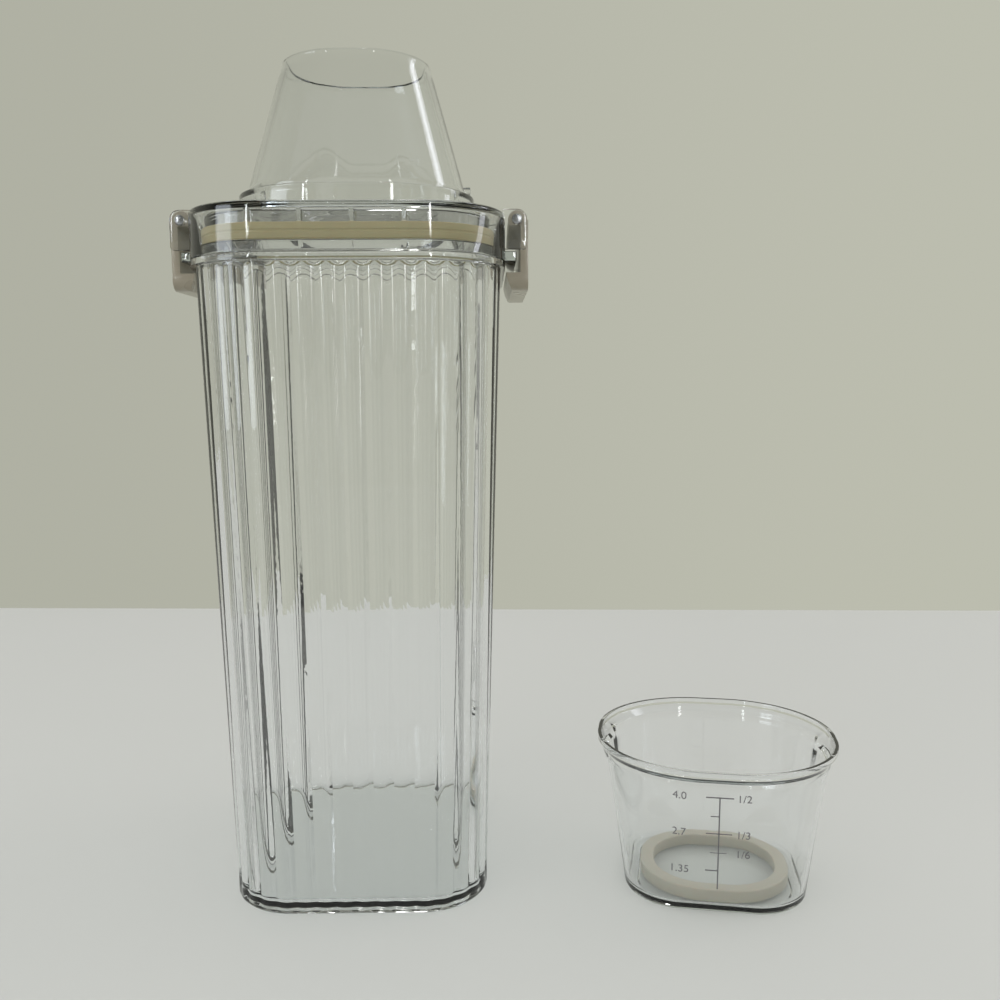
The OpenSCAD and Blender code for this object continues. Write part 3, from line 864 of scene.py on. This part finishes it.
class MakeScale(ContainerPiece, bpy.types.Operator):
    """Print the measuring scale on the front of the cup"""
    bl_idname = "container.make_scale"
    bl_label = "Printed scale"

    # Height, left end, right end and width against the line's, of each mark
    marks = ((39.5, -4.1, 4.1, 1.0), (33.2, -2.6, 0, 0.8), (27.4, -3.9, 3.9, 0.8),
             (20.9, -2.5, 2.5, 0.6), (14.8, -3.8, 0, 1.0))
    # Height, left end and text of each number
    numbers = ((39.5, -14.0, "4.0"), (27.4, -14.0, "2.7"), (14.8, -14.6, "1.35"),
               (39.5, 5.0, "1/2"), (27.4, 5.0, "1/3"), (20.9, 5.0, "1/6"))

    def bar(self, x, z, along, up):
        columns, rows = max(1, round(along / MM)), max(1, round(up / (4 * MM)))
        bpy.ops.mesh.primitive_grid_add(
            x_subdivisions=columns, y_subdivisions=rows, size=1,
            location=(x, 0, z), rotation=(math.pi / 2, 0, 0))
        stretch((x, 0, z), along, 1, up)

    def wrap(self, obj, s, film):
        """Lays a flat print on the cup's curved front wall."""
        top = extent("measuring_cup")[0].z - s.ledge_drop
        points = []
        for vert in obj.data.vertices:
            x, z = vert.co.x, vert.co.z
            w, d, r = cup_wall_size(s, z / top)
            past = max(0, abs(x) - (w / 2 - r))
            points.append(Vector((x, -(d / 2 - r) - math.sqrt(r * r - past * past) - film, z)))
        for vert, point in zip(obj.data.vertices, turned(points, s.turn)):
            vert.co = point

    def execute(self, context):
        s, scale = context.scene.cup_sizes, context.scene.scale_sizes
        deselect()
        bpy.ops.mesh.primitive_grid_add(x_subdivisions=1, y_subdivisions=8, size=1)
        lines = bpy.context.object
        lines.name = "scale_marks"
        bpy.ops.object.mode_set(mode="EDIT")
        bpy.ops.mesh.delete(type="VERT")
        self.bar(0, (scale.bottom + scale.top) / 2, scale.line, scale.top - scale.bottom)
        for z, left, right, weight in self.marks:
            self.bar((left + right) / 2 * MM, z * MM, (right - left) * MM, scale.line * weight)
        bpy.ops.object.mode_set(mode="OBJECT")
        pieces = [lines]
        for i, (z, left, text) in enumerate(self.numbers):
            deselect()
            bpy.ops.object.text_add(location=(left * MM, 0, z * MM - scale.digit * 0.35),
                                    rotation=(math.pi / 2, 0, 0))
            number = bpy.context.object
            number.name = f"scale_number_{i + 1}"
            number.data.body = text
            number.data.size = scale.digit
            bpy.ops.object.convert(target="MESH")
            number = bpy.context.object
            bpy.ops.object.transform_apply(location=True, rotation=True, scale=True)
            pieces.append(number)
        for piece in pieces:
            self.wrap(piece, s, scale.film)
            add_modifier(piece, "SOLIDIFY", thickness=scale.film, offset=1)
            seat(piece, "cup", finish("printed_ink"))
        return {"FINISHED"}


# Stage


def card(name, direction, distance, width, height, strength, colour, soft=0.2):
    """A soft bright window that only reflections and clear plastic see."""
    aim = Vector(direction).normalized()
    deselect()
    bpy.ops.mesh.primitive_plane_add(
        size=1, location=aim * distance + Vector((0, 0, 0.15)), rotation=aim.to_track_quat("Z", "Y").to_euler(),
        scale=(1, 1, 1))
    obj = bpy.context.object
    obj.scale = (width, height, 1)
    obj.name = name
    material, nodes, links, shader, output = new_material(name)
    glow = nodes.new("ShaderNodeEmission")
    glow.inputs["Color"].default_value = (*colour, 1)
    place = nodes.new("ShaderNodeTexCoord")
    split = nodes.new("ShaderNodeSeparateXYZ")
    links.new(place.outputs["Object"], split.inputs[0])
    level = strength
    for axis in "XY":
        away = nodes.new("ShaderNodeMath")
        away.operation = "ABSOLUTE"
        links.new(split.outputs[axis], away.inputs[0])
        edge = nodes.new("ShaderNodeMapRange")
        edge.interpolation_type = "SMOOTHSTEP"
        edge.inputs["From Min"].default_value = 0.5
        edge.inputs["From Max"].default_value = 0.5 - soft
        links.new(away.outputs[0], edge.inputs["Value"])
        if level is strength:
            edge.inputs["To Max"].default_value = strength
        else:
            links.new(level, edge.inputs["To Max"])
        level = edge.outputs["Result"]
    links.new(level, glow.inputs["Strength"])
    links.new(glow.outputs[0], output.inputs["Surface"])
    obj.data.materials.append(material)
    obj.visible_camera = obj.visible_diffuse = obj.visible_shadow = False
    return obj


def soft_lamp(name, place, target, size, power, colour):
    """An area lamp that lights what is diffuse, and that no reflection shows."""
    deselect()
    bpy.ops.object.light_add(type="AREA", location=place)
    lamp = bpy.context.object
    lamp.name = name
    lamp.rotation_euler = (Vector(place) - Vector(target)).to_track_quat("Z", "Y").to_euler()
    lamp.data.size = size
    lamp.data.energy = power
    lamp.data.color = colour
    lamp.visible_glossy = lamp.visible_transmission = lamp.visible_camera = False


def room_light(scene):
    """The world: a wall for the camera with painted shade, darker to the left and lighter to the right, a
    darker room for reflections, plain light for the rest.
    """
    world = bpy.data.worlds.new("room")
    scene.world = world
    world.use_nodes = True
    nodes, links = world.node_tree.nodes, world.node_tree.links
    wall = scene.finishes.wall
    place = nodes.new("ShaderNodeTexCoord")
    split = nodes.new("ShaderNodeSeparateXYZ")
    links.new(place.outputs["Generated"], split.inputs[0])

    def fade(value, start, end, low, high):
        node = nodes.new("ShaderNodeMapRange")
        node.interpolation_type = "SMOOTHSTEP"
        for socket, number in zip(("From Min", "From Max", "To Min", "To Max"), (start, end, low, high)):
            node.inputs[socket].default_value = number
        links.new(value, node.inputs["Value"])
        return node.outputs["Result"]

    def times(first, second):
        node = nodes.new("ShaderNodeMath")
        node.operation = "MULTIPLY"
        links.new(first, node.inputs[0])
        links.new(second, node.inputs[1])
        return node.outputs[0]

    path = nodes.new("ShaderNodeLightPath")
    above = fade(split.outputs["Z"], 0.3, 0.75, 1, 0.28)
    behind_mirror = fade(split.outputs["Y"], -0.35, 0.15, 0.42, 1)
    behind_clear = fade(split.outputs["Y"], -0.35, 0.15, 0.8, 1)
    mirror = times(above, behind_mirror)
    clear = times(above, behind_clear)

    def background(strength, colour):
        node = nodes.new("ShaderNodeBackground")
        node.inputs["Color"].default_value = (*colour, 1)
        if isinstance(strength, (int, float)):
            node.inputs["Strength"].default_value = strength
        else:
            links.new(strength, node.inputs["Strength"])
        return node.outputs[0]

    def choose_by(ray, plain, other):
        node = nodes.new("ShaderNodeMixShader")
        links.new(path.outputs[ray], node.inputs["Fac"])
        links.new(plain, node.inputs[1])
        links.new(other, node.inputs[2])
        return node.outputs[0]

    # Painted shade on the wall: the wall that the camera and the clear plastic see is darker to the left and
    # lighter to the right
    across = fade(split.outputs["X"], -0.5, 0.5, 0.9, 1.05)
    light = background(0.84, (1, 1, 1))
    shown = choose_by("Is Glossy Ray", light, background(mirror, wall))
    shown = choose_by("Is Transmission Ray", shown, background(times(clear, across), wall))
    shown = choose_by("Is Camera Ray", shown, background(across, wall))
    links.new(shown, nodes["World Output"].inputs["Surface"])


class MakeStage(ContainerPiece, bpy.types.Operator):
    """Set up the table, the lights and the camera"""
    bl_idname = "container.make_stage"
    bl_label = "Table, lights and camera"

    def table(self, context):
        view = context.scene.view
        half, drop, gap = 2.0, 0.03, 0.15 * MM
        deselect()
        middle = Vector((0, view.table_back, -gap)) + Matrix.Rotation(view.table_turn, 3, "Z") @ Vector(
            (0, -half, 0))
        bpy.ops.mesh.primitive_plane_add(size=2 * half, location=middle, rotation=(0, 0, view.table_turn))
        table = context.object
        table.name = "table"
        bpy.ops.object.mode_set(mode="EDIT")
        mesh = bmesh.from_edit_mesh(table.data)
        for edge in mesh.edges:
            edge.select = all(v.co.y > 0 for v in edge.verts)
        mesh.select_flush_mode()
        bmesh.update_edit_mesh(table.data)
        bpy.ops.mesh.extrude_region_move(TRANSFORM_OT_translate={"value": (0, 0, -drop)})
        bpy.ops.object.mode_set(mode="OBJECT")
        bevel(table, 4 * MM, segments=4)
        choose(table)
        bpy.ops.object.shade_smooth_by_angle(angle=math.radians(SMOOTH_ANGLE))
        table.data.materials.append(coloured(
            "table_top", context.scene.finishes.table, 0.012, 3, (8, 0.5, 0.6, 400, 0.02, 0.0002),
            Specular_IOR_Level=0.15))

    def camera(self, context):
        view = context.scene.view
        forward = Vector((math.sin(view.yaw) * math.cos(view.pitch),
                          math.cos(view.yaw) * math.cos(view.pitch), -math.sin(view.pitch)))
        right = Vector((math.cos(view.yaw), -math.sin(view.yaw), 0))
        up = right.cross(forward)
        level, roll = right, view.roll
        right = level * math.cos(roll) + up * math.sin(roll)
        up = up * math.cos(roll) - level * math.sin(roll)
        bpy.ops.object.camera_add(location=view.place)
        camera = context.object
        camera.rotation_euler = Matrix((right, up, -forward)).transposed().to_euler()
        camera.data.lens = view.lens
        camera.data.sensor_width = 36
        camera.data.clip_start, camera.data.clip_end = 0.01, 20
        context.scene.camera = camera

    def execute(self, context):
        context.scene.view_settings.view_transform = "Standard"
        self.table(context)
        self.camera(context)
        room_light(context.scene)
        card("window_left", (-0.86, -0.5, 0.12), 1.6, 0.8, 0.9, 5.0, (0.86, 0.93, 1.0))
        card("window_right", (0.93, 0.22, 0.60), 1.5, 0.3, 0.9, 4.0, (0.9, 0.92, 1.0))
        card("ceiling_light", (-0.05, 0.16, 1.0), 1.8, 0.12, 0.5, 10.0, (1.0, 0.99, 0.96))
        card("lamp_strip_right", (0.30, -1.0, 0.28), 2.5, 0.16, 1.5, 22.0, (1.0, 1.0, 1.0), soft=0.35)
        card("lamp_strip_left", (-0.52, -1.0, 0.28), 2.5, 0.14, 1.5, 18.0, (0.95, 0.98, 1.0), soft=0.35)
        soft_lamp("lamp_left", (-1.2, -1.0, 1.5), (0.03, 0, 0.1), 1.2, 9, (0.96, 0.98, 1.0))
        soft_lamp("lamp_right", (1.5, 0.3, 1.3), (0.03, 0, 0.1), 1.0, 6, (1.0, 0.98, 0.95))
        return {"FINISHED"}


MAKERS = (MakeStage, MakeBody, MakeLid, MakeSpout, MakeSeals, MakeLatches, MakeCup, MakeScale)


class ContainerPanel(bpy.types.Panel):
    """Lists the pieces of the container and their sizes"""
    bl_idname = "VIEW3D_PT_container"
    bl_label = "Storage Container"
    bl_space_type = "VIEW_3D"
    bl_region_type = "UI"
    bl_category = "Container"

    def draw(self, context):
        for maker in MAKERS:
            self.layout.operator(maker.bl_idname)
        for group, kind in GROUPS.items():
            box = self.layout.box()
            box.label(text=kind.__doc__)
            for name in kind.__annotations__:
                box.prop(getattr(context.scene, group), name)


CLASSES = (*GROUPS.values(), *MAKERS, ContainerPanel)


def register():
    for kind in CLASSES:
        bpy.utils.register_class(kind)
    for group, kind in GROUPS.items():
        setattr(bpy.types.Scene, group, PointerProperty(type=kind))


def unregister():
    for group in GROUPS:
        delattr(bpy.types.Scene, group)
    for kind in reversed(CLASSES):
        bpy.utils.unregister_class(kind)


def main():
    register()
    make_materials(bpy.context.scene)
    for maker in MAKERS:
        category, name = maker.bl_idname.split(".")
        getattr(getattr(bpy.ops, category), name)()


if __name__ == "__main__":
    main()
